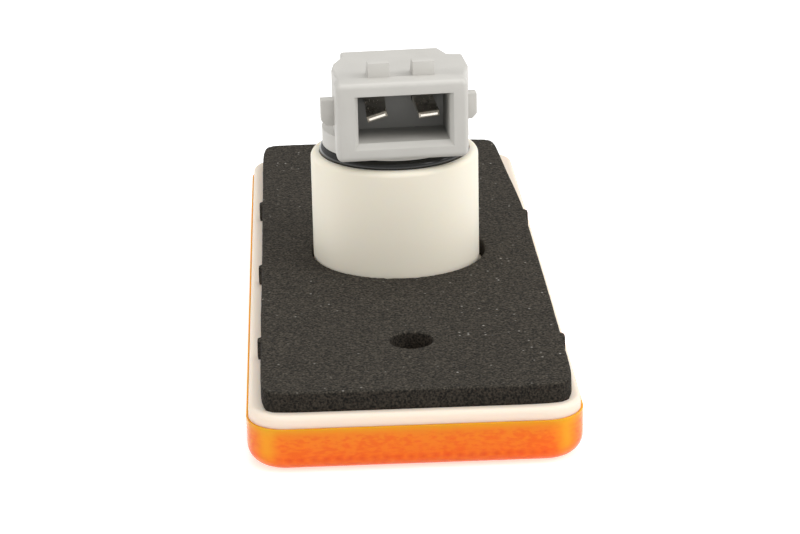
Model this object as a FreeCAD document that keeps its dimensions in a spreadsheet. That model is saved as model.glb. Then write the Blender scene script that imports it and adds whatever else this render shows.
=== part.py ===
import FreeCAD, Part
import math
import os
import re

import Sketcher

# Clearance lamp, lying on its lens with the bulb holder on top.
# Millimetres. X is the lamp's width, Y its length and Z runs from the lens face to the bulb holder.
# The origin is the middle of the lens face, on the axis of the tower.

SIZES = {
    # lens
    "lens_width": 42.0,
    "lens_length": 108.5,
    "lens_height": 5.9,
    "lens_corner": 5.0,
    "lens_edge_round": 2.5,
    "lens_wall": 1.8,
    "lens_face": 2.0,
    "prism_pitch": 1.5,
    "prism_depth": 0.7,
    "prism_overlap": 0.06,
    "prism_margin": 2.4,
    # housing flange and the spigot that locates it in the lens
    "flange_inset": 0.3,
    "flange_thick": 1.6,
    "flange_round": 0.7,
    "spigot_depth": 1.8,
    "spigot_wall": 1.4,
    "spigot_gap": 0.1,
    # tower with its collar
    "tower_radius": 11.75,
    "tower_wall": 1.2,
    "tower_height": 17.5,
    "rim_round": 0.8,
    "collar_radius": 8.8,
    "collar_height": 2.5,
    "notch_width": 5.0,
    "notch_reach": 10.2,
    # fixing screws
    "screw_spacing": 71.4,
    "screw_radius": 1.25,
    "screw_depth": 3.6,
    "boss_radius": 3.0,
    "boss_floor": 0.8,
    # foam gasket
    "foam_width": 38.9,
    "foam_length": 104.7,
    "foam_thick": 2.65,
    "foam_corner": 1.5,
    "foam_tower_gap": 0.45,
    "foam_shift": 0.3,
    "foam_screw_radius": 2.75,
    "nib_length": 1.4,
    "nib_reach": 0.45,
    "left_nib_rear": 22.5,
    "left_nib_middle": -5.5,
    "left_nib_front": -33.5,
    "right_nib_rear": 15.0,
    "right_nib_front": -35.5,
    # sealing ring
    "ring_section": 1.95,
    "ring_gap": 0.05,
    # bulb holder
    "holder_turn": 4.0,
    "disc_radius": 10.05,
    "disc_gap": 1.2,
    "disc_thick": 2.4,
    "stem_radius": 8.5,
    "recess_radius": 6.2,
    "recess_roof": 1.5,
    "lug_width": 4.2,
    "lug_reach": 9.9,
    "lug_thick": 1.7,
    "lug_gap": 0.1,
    "lug_count": 3,
    # connector shell of the bulb holder
    "connector_shift": 0.25,
    "shell_gap": 1.7,
    "shell_width": 18.0,
    "shell_height": 10.9,
    "shell_front": 11.5,
    "shell_corner": 0.5,
    "shell_round": 0.4,
    "right_front": 8.3,
    "right_shoulder": 9.9,
    "right_shoulder_front": 3.0,
    "right_shoulder_back": 3.0,
    "right_waist": 7.9,
    "right_waist_place": 3.4,
    "left_front": 8.55,
    "left_shoulder": 8.95,
    "left_shoulder_place": 1.6,
    "left_bend": 8.45,
    "left_bend_place": 1.15,
    "left_waist": 7.05,
    "left_waist_place": 4.3,
    "rear_width": 13.9,
    "rear_place": 7.0,
    "lip_depth": 3.3,
    "lip_step": 0.2,
    "lip_corner": 0.9,
    "lip_round": 0.7,
    "cavity_width": 12.5,
    "cavity_height": 6.5,
    "cavity_floor": 2.4,
    "cavity_depth": 7.8,
    "mouth_depth": 0.8,
    "roof_flare": 0.25,
    "side_flare": 0.5,
    "floor_flare": 0.75,
    "rib_width": 2.9,
    "rib_spacing": 6.1,
    "rib_height": 2.1,
    "rib_length": 3.4,
    "rib_slope": 1.3,
    "catch_root": 8.0,
    "catch_reach": 10.7,
    "catch_low": 4.2,
    "catch_height": 3.55,
    "catch_slope": 0.7,
    "catch_front": 4.1,
    "catch_length": 1.9,
    # terminals
    "blade_width": 2.8,
    "blade_thick": 0.8,
    "blade_spacing": 6.6,
    "blade_height": 4.2,
    "blade_recess": 1.6,
    "blade_chamfer": 0.25,
    "root_length": 0.6,
    "terminal_drop": 7.5,
    "terminal_gap": 0.05,
    "left_blade_twist": 16.0,
    "right_blade_twist": 5.0,
    "blade_splay": 0.25,
    "blade_tip_drop": 0.8,
    # bulb
    "bulb_gap": 1.8,
    "bulb_length": 26.2,
    "bulb_radius": 5.0,
    "bulb_dome": 4.6,
    "glass_wall": 0.6,
    "hollow_tip_radius": 1.8,
    "neck_length": 5.3,
    "pinch_width": 9.4,
    "pinch_thick": 2.1,
    "pinch_length": 6.8,
    "pinch_gap": 0.15,
    "pinch_headroom": 0.7,
    "lead_radius": 0.2,
    "lead_spacing": 5.4,
    "lead_fold": 4.0,
    "filament_radius": 0.25,
    "filament_place": 9.0,
}

# Heights that several pieces share, each worked out from the driving dimensions
PRISM_TOP = "lens_face + prism_depth"
FLANGE_TOP = "lens_height + flange_thick"
TOWER_TOP = FLANGE_TOP + " + tower_height"
TOWER_BORE = "tower_radius - tower_wall"
DISC_BOTTOM = TOWER_TOP + " + disc_gap"
COLLAR_TOP = DISC_BOTTOM + " - ring_section"
COLLAR_BOTTOM = COLLAR_TOP + " - collar_height"
STEM_BOTTOM = COLLAR_BOTTOM + " - lug_gap - lug_thick"
RECESS_TOP = DISC_BOTTOM + " - recess_roof"
SHELL_BOTTOM = TOWER_TOP + " + shell_gap"
CAVITY_BOTTOM = SHELL_BOTTOM + " + cavity_floor"
BLADE_MIDDLE = CAVITY_BOTTOM + " + blade_height"
CAVITY_BACK = "shell_front - cavity_depth"
BULB_TIP = PRISM_TOP + " + bulb_gap"
PINCH_END = BULB_TIP + " + bulb_length"
PINCH_START = PINCH_END + " - pinch_length"
CONTACT_FACE = "pinch_thick / 2 + 2 * lead_radius"
LENS_INSIDE_WIDTH = "lens_width - 2 * lens_wall"
LENS_INSIDE_LENGTH = "lens_length - 2 * lens_wall"

# Angles in degrees, and the slack in millimetres for telling points of a solid apart
FULL_TURN = 360
QUARTER_TURN = 90
TOLERANCE = 1e-4

doc = FreeCAD.newDocument("ClearanceLamp")
sheet = doc.addObject("Spreadsheet::Sheet", "Sizes")
for row, (alias, size) in enumerate(SIZES.items(), start=1):
    sheet.set(f"A{row}", alias)
    sheet.set(f"B{row}", str(size))
    sheet.setAlias(f"B{row}", alias)
doc.recompute()


# Formulas of the sheet's names

def linked(formula):
    """The expression that FreeCAD reads for a formula of the sheet's names."""
    return re.sub(r"[a-z_]+", lambda word: "Sizes." + word[0] if word[0] in SIZES else word[0], formula)


def number(formula):
    return float(sheet.evalExpression(linked(formula)))


def bind(feature, **formulas):
    for name, formula in formulas.items():
        feature.setExpression(name, linked(formula))


# Sketches

def origin_part(body, role):
    return next(part for part in body.Origin.OriginFeatures if part.Role == role)


def sketch_on(body, name, role, offset="0"):
    """An empty sketch on one of the body's origin planes, moved along the plane's normal."""
    sketch = body.newObject("Sketcher::SketchObject", name)
    sketch.AttachmentSupport = [(origin_part(body, role), "")]
    sketch.MapMode = "FlatFace"
    sketch.setExpression("AttachmentOffset.Base.z", linked(offset))
    return sketch


def pin_point(sketch, geometry, point, direction, formula):
    """Hold one point of a sketch at a formula's distance from the sketch's origin."""
    value = number(formula)
    if abs(value) < TOLERANCE:
        axis = -2 if direction == "DistanceX" else -1
        sketch.addConstraint(Sketcher.Constraint("PointOnObject", geometry, point, axis))
        return
    if value > 0:
        held = Sketcher.Constraint(direction, -1, 1, geometry, point, value)
    else:
        held = Sketcher.Constraint(direction, geometry, point, -1, 1, -value)
        formula = f"-({formula})"
    index = sketch.addConstraint(held)
    sketch.setExpression(f"Constraints[{index}]", linked(formula))


def draw_polygon(sketch, corners):
    """A closed outline through corners given as pairs of formulas."""
    points = [FreeCAD.Vector(number(x), number(y), 0) for x, y in corners]
    first = sketch.GeometryCount
    count = len(points)
    for index in range(count):
        sketch.addGeometry(Part.LineSegment(points[index], points[(index + 1) % count]), False)
    for index in range(count):
        following = first + (index + 1) % count
        sketch.addConstraint(Sketcher.Constraint("Coincident", first + index, 2, following, 1))
    for index, (x, y) in enumerate(corners):
        pin_point(sketch, first + index, 1, "DistanceX", x)
        pin_point(sketch, first + index, 1, "DistanceY", y)


def draw_box(sketch, left, right, low, high):
    draw_polygon(sketch, [(left, low), (right, low), (right, high), (left, high)])


def draw_centred_box(sketch, wide, tall):
    draw_box(sketch, f"-({wide}) / 2", f"({wide}) / 2", f"-({tall}) / 2", f"({tall}) / 2")


def draw_round_box(sketch, left, right, low, high, radius):
    """A box whose corners are arcs of one radius."""
    sides = [
        ((f"{left} + {radius}", low), (f"{right} - {radius}", low)),
        ((right, f"{low} + {radius}"), (right, f"{high} - {radius}")),
        ((f"{right} - {radius}", high), (f"{left} + {radius}", high)),
        ((left, f"{high} - {radius}"), (left, f"{low} + {radius}")),
    ]
    for ends in sides:
        points = [FreeCAD.Vector(number(x), number(y), 0) for x, y in ends]
        line = sketch.addGeometry(Part.LineSegment(*points), False)
        for point, (x, y) in enumerate(ends, start=1):
            pin_point(sketch, line, point, "DistanceX", x)
            pin_point(sketch, line, point, "DistanceY", y)
    centres = [(right, "-", low, "+"), (right, "-", high, "-"), (left, "+", high, "-"), (left, "+", low, "+")]
    for index, (x, inward, y, upward) in enumerate(centres):
        centre = FreeCAD.Vector(number(f"{x} {inward} {radius}"), number(f"{y} {upward} {radius}"), 0)
        circle = Part.Circle(centre, FreeCAD.Vector(0, 0, 1), number(radius))
        start = (index - 1) * math.pi / 2
        arc = sketch.addGeometry(Part.ArcOfCircle(circle, start, start + math.pi / 2), False)
        sketch.addConstraint(Sketcher.Constraint("Coincident", arc, 1, index, 2))
        sketch.addConstraint(Sketcher.Constraint("Coincident", arc, 2, (index + 1) % 4, 1))
        held = sketch.addConstraint(Sketcher.Constraint("Radius", arc, number(radius)))
        sketch.setExpression(f"Constraints[{held}]", linked(radius))


def draw_circle(sketch, radius, x="0", y="0"):
    centre = FreeCAD.Vector(number(x), number(y), 0)
    circle = Part.Circle(centre, FreeCAD.Vector(0, 0, 1), number(radius))
    geometry = sketch.addGeometry(circle, False)
    pin_point(sketch, geometry, 3, "DistanceX", x)
    pin_point(sketch, geometry, 3, "DistanceY", y)
    index = sketch.addConstraint(Sketcher.Constraint("Radius", geometry, number(radius)))
    sketch.setExpression(f"Constraints[{index}]", linked(radius))


# Features

def extrude(body, kind, sketch, name, length, backward=False, both_ways=False):
    feature = body.newObject("PartDesign::" + kind, name)
    feature.Profile = sketch
    feature.Reversed = backward
    feature.Midplane = both_ways
    bind(feature, Length=length)
    sketch.Visibility = False
    doc.recompute()
    return feature


def pad(body, sketch, name, length, backward=False, both_ways=False):
    return extrude(body, "Pad", sketch, name, length, backward, both_ways)


def pocket(body, sketch, name, depth, backward=False):
    before = body.Tip.Shape.Volume
    feature = extrude(body, "Pocket", sketch, name, depth, backward)
    if feature.Shape.Volume >= before:
        raise RuntimeError(name + " cuts nothing")
    return feature


def fillet(body, name, radius, chosen):
    """Round the edges of the body that a test picks out."""
    base = body.Tip
    edges = [f"Edge{index}" for index, edge in enumerate(base.Shape.Edges, start=1) if chosen(edge)]
    if not edges:
        raise RuntimeError(name + " finds no edges")
    feature = body.newObject("PartDesign::Fillet", name)
    feature.Base = (base, edges)
    bind(feature, Radius=radius)
    doc.recompute()
    return feature


def repeat(body, kind, name, feature, **settings):
    """A mirror or pattern of one feature, made the body's tip so that it counts."""
    pattern = body.newObject("PartDesign::" + kind, name)
    pattern.Originals = [feature]
    for setting, value in settings.items():
        setattr(pattern, setting, value)
    body.Tip = pattern
    doc.recompute()
    return pattern


def mirror(body, name, feature, role):
    return repeat(body, "Mirrored", name, feature, MirrorPlane=(origin_part(body, role), [""]))


# Tests that pick out edges

def near(value, formula):
    return abs(value - number(formula)) < TOLERANCE


def is_along(edge, axis):
    if not isinstance(edge.Curve, Part.Line):
        return False
    return abs(getattr(edge.tangentAt(edge.FirstParameter), axis)) > 1 - TOLERANCE


def is_level(edge, height):
    box = edge.BoundBox
    return near(box.ZMin, height) and near(box.ZMax, height)


def is_across(edge, place):
    """The edge lies in the plane that crosses the Y axis at a place."""
    box = edge.BoundBox
    return near(box.YMin, place) and near(box.YMax, place)


def is_round(edge, radius):
    return isinstance(edge.Curve, Part.Circle) and near(edge.Curve.Radius, radius)


# Sub-parts

def new_body(name):
    body = doc.addObject("PartDesign::Body", name)
    body.Label = name
    return body


def turn_with_holder(piece):
    """Turn a piece about the tower's axis, as the bulb holder sits in its collar."""
    piece.setExpression("Placement.Rotation.Angle", linked("holder_turn"))


def make_prism_rows(body, name, role, span, run):
    """Parallel V grooves across the lens floor: a row over the span, each one as long as the run."""
    count = int(number(f"({span}) / prism_pitch"))
    start = f"-{count - 1} * prism_pitch / 2"
    half = "(prism_pitch + prism_overlap) / 2"
    sketch = sketch_on(body, name + "_section", role)
    corners = [(f"{start} - {half}", PRISM_TOP), (start, "lens_face"), (f"{start} + {half}", PRISM_TOP)]
    draw_polygon(sketch, corners)
    groove = extrude(body, "Pocket", sketch, name + "_groove", run, both_ways=True)
    row = repeat(body, "LinearPattern", name + "_row", groove, Direction=(sketch, ["H_Axis"]))
    row.Mode = "Spacing"
    row.Occurrences = count
    bind(row, Offset="prism_pitch")
    doc.recompute()


def make_lens():
    body = new_body("lens")
    outline = sketch_on(body, "lens_outline", "XY_Plane")
    draw_centred_box(outline, "lens_width", "lens_length")
    pad(body, outline, "lens_block", "lens_height")
    fillet(body, "lens_corners", "lens_corner", lambda edge: is_along(edge, "z"))
    fillet(body, "lens_edge", "lens_edge_round", lambda edge: is_level(edge, "0"))
    inside = sketch_on(body, "lens_inside", "XY_Plane", "lens_height")
    draw_centred_box(inside, LENS_INSIDE_WIDTH, LENS_INSIDE_LENGTH)
    pocket(body, inside, "lens_hollow", f"lens_height - ({PRISM_TOP})")
    half_width = f"({LENS_INSIDE_WIDTH}) / 2"
    fillet(
        body,
        "lens_hollow_corners",
        "lens_corner - lens_wall",
        lambda edge: is_along(edge, "z") and near(abs(edge.BoundBox.XMin), half_width),
    )
    field_width = f"{LENS_INSIDE_WIDTH} - 2 * prism_margin"
    field_length = f"{LENS_INSIDE_LENGTH} - 2 * prism_margin"
    make_prism_rows(body, "long_prism", "XZ_Plane", field_width, field_length)
    make_prism_rows(body, "cross_prism", "YZ_Plane", field_length, field_width)
    return body


def make_housing():
    body = new_body("housing")
    outline = sketch_on(body, "flange_outline", "XY_Plane", "lens_height")
    draw_centred_box(outline, "lens_width - 2 * flange_inset", "lens_length - 2 * flange_inset")
    pad(body, outline, "flange", "flange_thick")
    fillet(body, "flange_corners", "lens_corner - flange_inset", lambda edge: is_along(edge, "z"))
    fillet(body, "flange_edge", "flange_round", lambda edge: is_level(edge, FLANGE_TOP))

    spigot = sketch_on(body, "spigot_outline", "XY_Plane", "lens_height")
    outer_width = f"{LENS_INSIDE_WIDTH} - 2 * spigot_gap"
    outer_length = f"{LENS_INSIDE_LENGTH} - 2 * spigot_gap"
    draw_centred_box(spigot, outer_width, outer_length)
    draw_centred_box(spigot, f"{outer_width} - 2 * spigot_wall", f"{outer_length} - 2 * spigot_wall")
    pad(body, spigot, "spigot", "spigot_depth", backward=True)

    def is_spigot_corner(edge, width):
        under_flange = edge.BoundBox.ZMin < number("lens_height") - TOLERANCE
        return is_along(edge, "z") and under_flange and near(abs(edge.BoundBox.XMin), f"({width}) / 2")

    spigot_corner = "lens_corner - lens_wall - spigot_gap"
    fillet(body, "spigot_corners", spigot_corner, lambda edge: is_spigot_corner(edge, outer_width))
    inner_width = f"{outer_width} - 2 * spigot_wall"
    inner_corner = f"{spigot_corner} - spigot_wall"
    fillet(body, "spigot_inside", inner_corner, lambda edge: is_spigot_corner(edge, inner_width))

    tower = sketch_on(body, "tower_circle", "XY_Plane", FLANGE_TOP)
    draw_circle(tower, "tower_radius")
    pad(body, tower, "tower", "tower_height")

    collar = sketch_on(body, "collar_circle", "XY_Plane", TOWER_TOP)
    draw_circle(collar, "collar_radius")
    pocket(body, collar, "collar_bore", "tower_height + flange_thick")
    seat = sketch_on(body, "ring_seat_circle", "XY_Plane", TOWER_TOP)
    draw_circle(seat, TOWER_BORE)
    pocket(body, seat, "ring_seat", f"{TOWER_TOP} - ({COLLAR_TOP})")
    inside = sketch_on(body, "tower_inside_circle", "XY_Plane", "lens_height")
    draw_circle(inside, TOWER_BORE)
    pocket(body, inside, "tower_inside", f"{COLLAR_BOTTOM} - lens_height", backward=True)
    fillet(
        body,
        "tower_rim",
        "rim_round",
        lambda edge: is_level(edge, TOWER_TOP) and is_round(edge, "tower_radius"),
    )

    notch = sketch_on(body, "notch_outline", "XY_Plane", COLLAR_TOP)
    draw_box(notch, "-notch_width / 2", "notch_width / 2", "0", "notch_reach")
    notch_cut = pocket(body, notch, "notch", "collar_height")
    space_round_axis(body, "notches", notch_cut)

    boss = sketch_on(body, "boss_circle", "XY_Plane", "lens_height")
    draw_circle(boss, "boss_radius", y="-screw_spacing / 2")
    boss_depth = "screw_depth + boss_floor - flange_thick"
    mirror(body, "bosses", pad(body, boss, "boss", boss_depth, backward=True), "XZ_Plane")
    screw = sketch_on(body, "screw_circle", "XY_Plane", FLANGE_TOP)
    draw_circle(screw, "screw_radius", y="-screw_spacing / 2")
    mirror(body, "screw_holes", pocket(body, screw, "screw_hole", "screw_depth"), "XZ_Plane")
    return body


def space_round_axis(body, name, feature):
    """Repeat a bayonet lug, or the notch that lets it in, evenly about the tower's axis."""
    axis = (origin_part(body, "Z_Axis"), [""])
    pattern = repeat(body, "PolarPattern", name, feature, Axis=axis, Angle=FULL_TURN)
    bind(pattern, Occurrences="lug_count")
    doc.recompute()


def make_foam_gasket():
    body = new_body("foam_gasket")
    outline = sketch_on(body, "foam_outline", "XY_Plane", FLANGE_TOP)
    left_side = "foam_shift - foam_width / 2"
    right_side = "foam_shift + foam_width / 2"
    draw_box(outline, left_side, right_side, "-foam_length / 2", "foam_length / 2")
    pad(body, outline, "foam_sheet", "foam_thick")
    fillet(body, "foam_corners", "foam_corner", lambda edge: is_along(edge, "z"))
    nibs = sketch_on(body, "nib_outlines", "XY_Plane", FLANGE_TOP)
    half = "nib_length / 2"
    places = {
        left_side: ("left_nib_rear", "left_nib_middle", "left_nib_front"),
        right_side: ("right_nib_rear", "right_nib_front"),
    }
    for side, side_nibs in places.items():
        for nib in side_nibs:
            draw_box(nibs, f"{side} - nib_reach", f"{side} + nib_reach", f"{nib} - {half}", f"{nib} + {half}")
    pad(body, nibs, "nibs", "foam_thick")
    holes = sketch_on(body, "foam_holes", "XY_Plane", f"{FLANGE_TOP} + foam_thick")
    draw_circle(holes, "tower_radius + foam_tower_gap", x="foam_shift")
    for end in ("-", ""):
        draw_circle(holes, "foam_screw_radius", x="foam_shift", y=f"{end}screw_spacing / 2")
    pocket(body, holes, "foam_cut", "foam_thick")
    return body


def make_o_ring():
    ring = doc.addObject("Part::Torus", "o_ring")
    ring.Label = "o_ring"
    bind(ring, Radius1=f"{TOWER_BORE} - ring_gap - ring_section / 2", Radius2="ring_section / 2")
    ring.setExpression("Placement.Base.z", linked(f"{COLLAR_TOP} + ring_section / 2"))
    doc.recompute()
    return ring


def add_holder_base(body):
    """Round base that closes the tower, the stem below it and the bayonet lugs."""
    disc = sketch_on(body, "disc_circle", "XY_Plane", DISC_BOTTOM)
    draw_circle(disc, "disc_radius")
    pad(body, disc, "disc", "disc_thick")
    stem = sketch_on(body, "stem_circle", "XY_Plane", DISC_BOTTOM)
    draw_circle(stem, "stem_radius")
    pad(body, stem, "stem", f"{DISC_BOTTOM} - ({STEM_BOTTOM})", backward=True)
    lug = sketch_on(body, "lug_outline", "XY_Plane", STEM_BOTTOM)
    draw_box(lug, "-lug_reach", "-recess_radius", "-lug_width / 2", "lug_width / 2")
    space_round_axis(body, "lugs", pad(body, lug, "lug", "lug_thick"))


def add_connector_shell(body):
    """Upper block, stepped on its right and slanted on its left, and the lip round the connector's mouth."""
    front = "-shell_front + lip_depth / 2"
    corners = [
        ("right_front", front),
        ("right_shoulder", "-right_shoulder_front"),
        ("right_shoulder", "right_shoulder_back"),
        ("right_waist", "right_waist_place"),
        ("rear_width / 2", "rear_place"),
        ("-rear_width / 2", "rear_place"),
        ("-left_waist", "left_waist_place"),
        ("-left_bend", "left_bend_place"),
        ("-left_shoulder", "-left_shoulder_place"),
        ("-left_front", front),
    ]
    low = f"{SHELL_BOTTOM} + lip_step"
    outline = sketch_on(body, "shell_outline", "XY_Plane", low)
    draw_polygon(outline, [(f"connector_shift + {x}", y) for x, y in corners])
    pad(body, outline, "shell", "shell_height - 2 * lip_step")
    fillet(body, "shell_corners", "shell_corner", lambda edge: is_along(edge, "z"))
    fillet(
        body,
        "shell_edges",
        "shell_round",
        lambda edge: is_level(edge, low) or is_level(edge, f"{low} + shell_height - 2 * lip_step"),
    )
    lip = sketch_on(body, "lip_outline", "XZ_Plane", "shell_front")
    lip_top = f"{SHELL_BOTTOM} + shell_height"
    draw_round_box(lip, "-shell_width / 2", "shell_width / 2", SHELL_BOTTOM, lip_top, "lip_corner")
    pad(body, lip, "lip", "lip_depth", backward=True)
    fillet(body, "lip_front", "lip_round", lambda edge: is_across(edge, "-shell_front"))


def add_cavity(body):
    """Room for the plug, with a bevelled mouth that is widest along its floor."""
    mouth = sketch_on(body, "cavity_outline", "XZ_Plane", "shell_front")
    left = "connector_shift - cavity_width / 2"
    right = "connector_shift + cavity_width / 2"
    roof = f"{CAVITY_BOTTOM} + cavity_height"
    draw_box(mouth, left, right, CAVITY_BOTTOM, roof)
    pocket(body, mouth, "cavity", "cavity_depth")

    outer = sketch_on(body, "mouth_outer", "XZ_Plane", "shell_front")
    wide_left = f"{left} - side_flare"
    wide_right = f"{right} + side_flare"
    draw_box(outer, wide_left, wide_right, f"{CAVITY_BOTTOM} - floor_flare", f"{roof} + roof_flare")
    inner = sketch_on(body, "mouth_inner", "XZ_Plane", "shell_front - mouth_depth")
    draw_box(inner, left, right, CAVITY_BOTTOM, roof)
    flare = body.newObject("PartDesign::SubtractiveLoft", "mouth_flare")
    flare.Profile = outer
    flare.Sections = [inner]
    flare.Ruled = True
    doc.recompute()


def add_ribs(body):
    """Two ribs on top of the shell, upright in front and sloping away behind."""
    top = f"{SHELL_BOTTOM} + shell_height - lip_step"
    front = "-shell_front + lip_depth"
    corners = [
        (front, f"{top} - lip_step"),
        (f"{front} + rib_length", f"{top} - lip_step"),
        (f"{front} + rib_length", top),
        (f"{front} + rib_length - rib_slope", f"{top} + rib_height"),
        (front, f"{top} + rib_height"),
    ]
    for name, side in (("left_rib", "-"), ("right_rib", "")):
        place = f"connector_shift + {side}rib_spacing / 2 - rib_width / 2"
        section = sketch_on(body, name + "_section", "YZ_Plane", place)
        draw_polygon(section, corners)
        pad(body, section, name, "rib_width")


def add_catches(body):
    """Catch on each side of the shell, bevelled underneath."""
    low = f"{SHELL_BOTTOM} + catch_low"
    section = sketch_on(body, "catch_section", "XZ_Plane", "shell_front - catch_front")
    corners = [
        ("catch_root", low),
        ("catch_reach - catch_slope", low),
        ("catch_reach", f"{low} + catch_slope"),
        ("catch_reach", f"{low} + catch_height"),
        ("catch_root", f"{low} + catch_height"),
    ]
    draw_polygon(section, corners)
    mirror(body, "catches", pad(body, section, "catch", "catch_length", backward=True), "YZ_Plane")


def blade_centre(side):
    return f"connector_shift + {side}blade_spacing / 2"


def add_bulb_socket(body):
    """Recess and slot for the bulb, with the terminals' channels beside it."""
    recess = sketch_on(body, "recess_circle", "XY_Plane", STEM_BOTTOM)
    draw_circle(recess, "recess_radius")
    pocket(body, recess, "recess", f"{RECESS_TOP} - ({STEM_BOTTOM})", backward=True)
    slot = sketch_on(body, "pinch_slot_outline", "XY_Plane", RECESS_TOP)
    draw_centred_box(slot, "pinch_width + 2 * pinch_gap", "pinch_thick + 2 * pinch_gap")
    slot_top = f"{PINCH_END} + pinch_headroom"
    pocket(body, slot, "pinch_slot", f"{slot_top} - ({RECESS_TOP})", backward=True)
    half = "blade_width / 2 + terminal_gap"
    rise = "blade_thick / 2 + terminal_gap"
    back_face = f"{CONTACT_FACE} + blade_thick + terminal_gap"
    channel_top = f"{BLADE_MIDDLE} + {rise}"
    for name, side, top in (("left", "-", channel_top), ("right", "", slot_top)):
        left = f"{blade_centre(side)} - ({half})"
        right = f"{blade_centre(side)} + {half}"
        back = f"{side}({back_face})"
        channel = sketch_on(body, name + "_channel_outline", "XY_Plane", RECESS_TOP)
        draw_box(channel, left, right, *sorted(["0", back], key=number))
        pocket(body, channel, name + "_channel", f"{top} - ({RECESS_TOP})", backward=True)
        through = sketch_on(body, name + "_blade_slot", "XZ_Plane", CAVITY_BACK)
        draw_box(through, left, right, f"{BLADE_MIDDLE} - ({rise})", channel_top)
        pocket(body, through, name + "_slot", f"{CAVITY_BACK} + {back}")
    drop = sketch_on(body, "right_drop_outline", "XY_Plane", RECESS_TOP)
    inner_face = f"{CONTACT_FACE} - terminal_gap"
    draw_box(drop, left, right, inner_face, back_face)
    pocket(body, drop, "right_drop", f"{channel_top} - ({RECESS_TOP})", backward=True)


def make_bulb_holder():
    body = new_body("bulb_holder")
    add_connector_shell(body)
    add_holder_base(body)
    add_cavity(body)
    add_ribs(body)
    add_catches(body)
    add_bulb_socket(body)
    turn_with_holder(body)
    return body


def make_terminal(name, side, twist):
    """Blade in the connector, led back and bent down to press on one of the bulb's leads."""
    body = new_body(name)
    centre = blade_centre(side)
    root = f"-({CAVITY_BACK}) - root_length"
    faces = [f"{side}({CONTACT_FACE})", f"{side}({CONTACT_FACE} + blade_thick)"]
    bend_inner, bend_outer = sorted(faces, key=number)
    low = f"{BLADE_MIDDLE} - blade_thick / 2"
    high = f"{BLADE_MIDDLE} + blade_thick / 2"
    foot = f"{BLADE_MIDDLE} - terminal_drop"
    strip = sketch_on(body, name + "_strip", "YZ_Plane", centre)
    corners = [
        (root, low),
        (bend_inner, low),
        (bend_inner, foot),
        (bend_outer, foot),
        (bend_outer, high),
        (root, high),
    ]
    draw_polygon(strip, corners)
    pad(body, strip, name + "_bent", "blade_width", both_ways=True)

    splay = f"{side}blade_splay"
    tip = "shell_front - blade_recess"
    stations = [
        ("root", f"-({root})", "0", "0", "0", "0"),
        ("shoulder", f"{tip} - blade_chamfer", splay, "blade_tip_drop", twist, "0"),
        ("tip", tip, splay, "blade_tip_drop", twist, "blade_chamfer"),
    ]
    sections = []
    for station, place, aside, drop, turn, bevel in stations:
        section = sketch_on(body, f"{name}_{station}", "XZ_Plane", place)
        section.setExpression("AttachmentOffset.Base.x", linked(f"{centre} + {aside}"))
        section.setExpression("AttachmentOffset.Base.y", linked(f"{BLADE_MIDDLE} - {drop}"))
        section.setExpression("AttachmentOffset.Rotation.Angle", linked(turn))
        draw_centred_box(section, f"blade_width - 2 * {bevel}", f"blade_thick - 2 * {bevel}")
        sections.append(section)
    blade = body.newObject("PartDesign::AdditiveLoft", name + "_blade")
    blade.Profile = sections[0]
    blade.Sections = sections[1:]
    blade.Ruled = True
    doc.recompute()
    turn_with_holder(body)
    return body


def make_bulb_glass():
    body = new_body("bulb_glass")
    tube = sketch_on(body, "glass_circle", "XY_Plane", BULB_TIP)
    draw_circle(tube, "bulb_radius")
    tube_length = "bulb_length - pinch_length - neck_length"
    pad(body, tube, "glass_tube", tube_length)
    fillet(body, "glass_dome", "bulb_dome", lambda edge: is_level(edge, BULB_TIP))
    neck_low = sketch_on(body, "neck_low", "XY_Plane", f"{BULB_TIP} + {tube_length}")
    draw_circle(neck_low, "bulb_radius")
    neck_high = sketch_on(body, "neck_high", "XY_Plane", PINCH_START)
    draw_centred_box(neck_high, "pinch_width", "pinch_thick")
    neck = body.newObject("PartDesign::AdditiveLoft", "neck")
    neck.Profile = neck_low
    neck.Sections = [neck_high]
    doc.recompute()
    pinch = sketch_on(body, "pinch_outline", "XY_Plane", PINCH_START)
    draw_centred_box(pinch, "pinch_width", "pinch_thick")
    pad(body, pinch, "pinch", "pinch_length")

    wall_low = f"{BULB_TIP} + glass_wall"
    inner = "bulb_radius - glass_wall"
    hollow = sketch_on(body, "glass_hollow_section", "XZ_Plane")
    corners = [
        ("0", wall_low),
        ("hollow_tip_radius", f"{wall_low} + glass_wall"),
        (inner, f"{BULB_TIP} + bulb_dome + glass_wall"),
        (inner, f"{BULB_TIP} + {tube_length}"),
        ("0", f"{BULB_TIP} + {tube_length} + glass_wall"),
    ]
    draw_polygon(hollow, corners)
    groove = body.newObject("PartDesign::Groove", "glass_hollow")
    groove.Profile = hollow
    groove.ReferenceAxis = (hollow, ["V_Axis"])
    groove.Angle = FULL_TURN
    doc.recompute()

    leads = sketch_on(body, "lead_circles", "XY_Plane", PINCH_END)
    for side in ("-", ""):
        draw_circle(leads, "lead_radius", x=f"{side}lead_spacing / 2")
    pocket(body, leads, "lead_holes", "pinch_length + neck_length + glass_wall")
    turn_with_holder(body)
    return body


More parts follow.
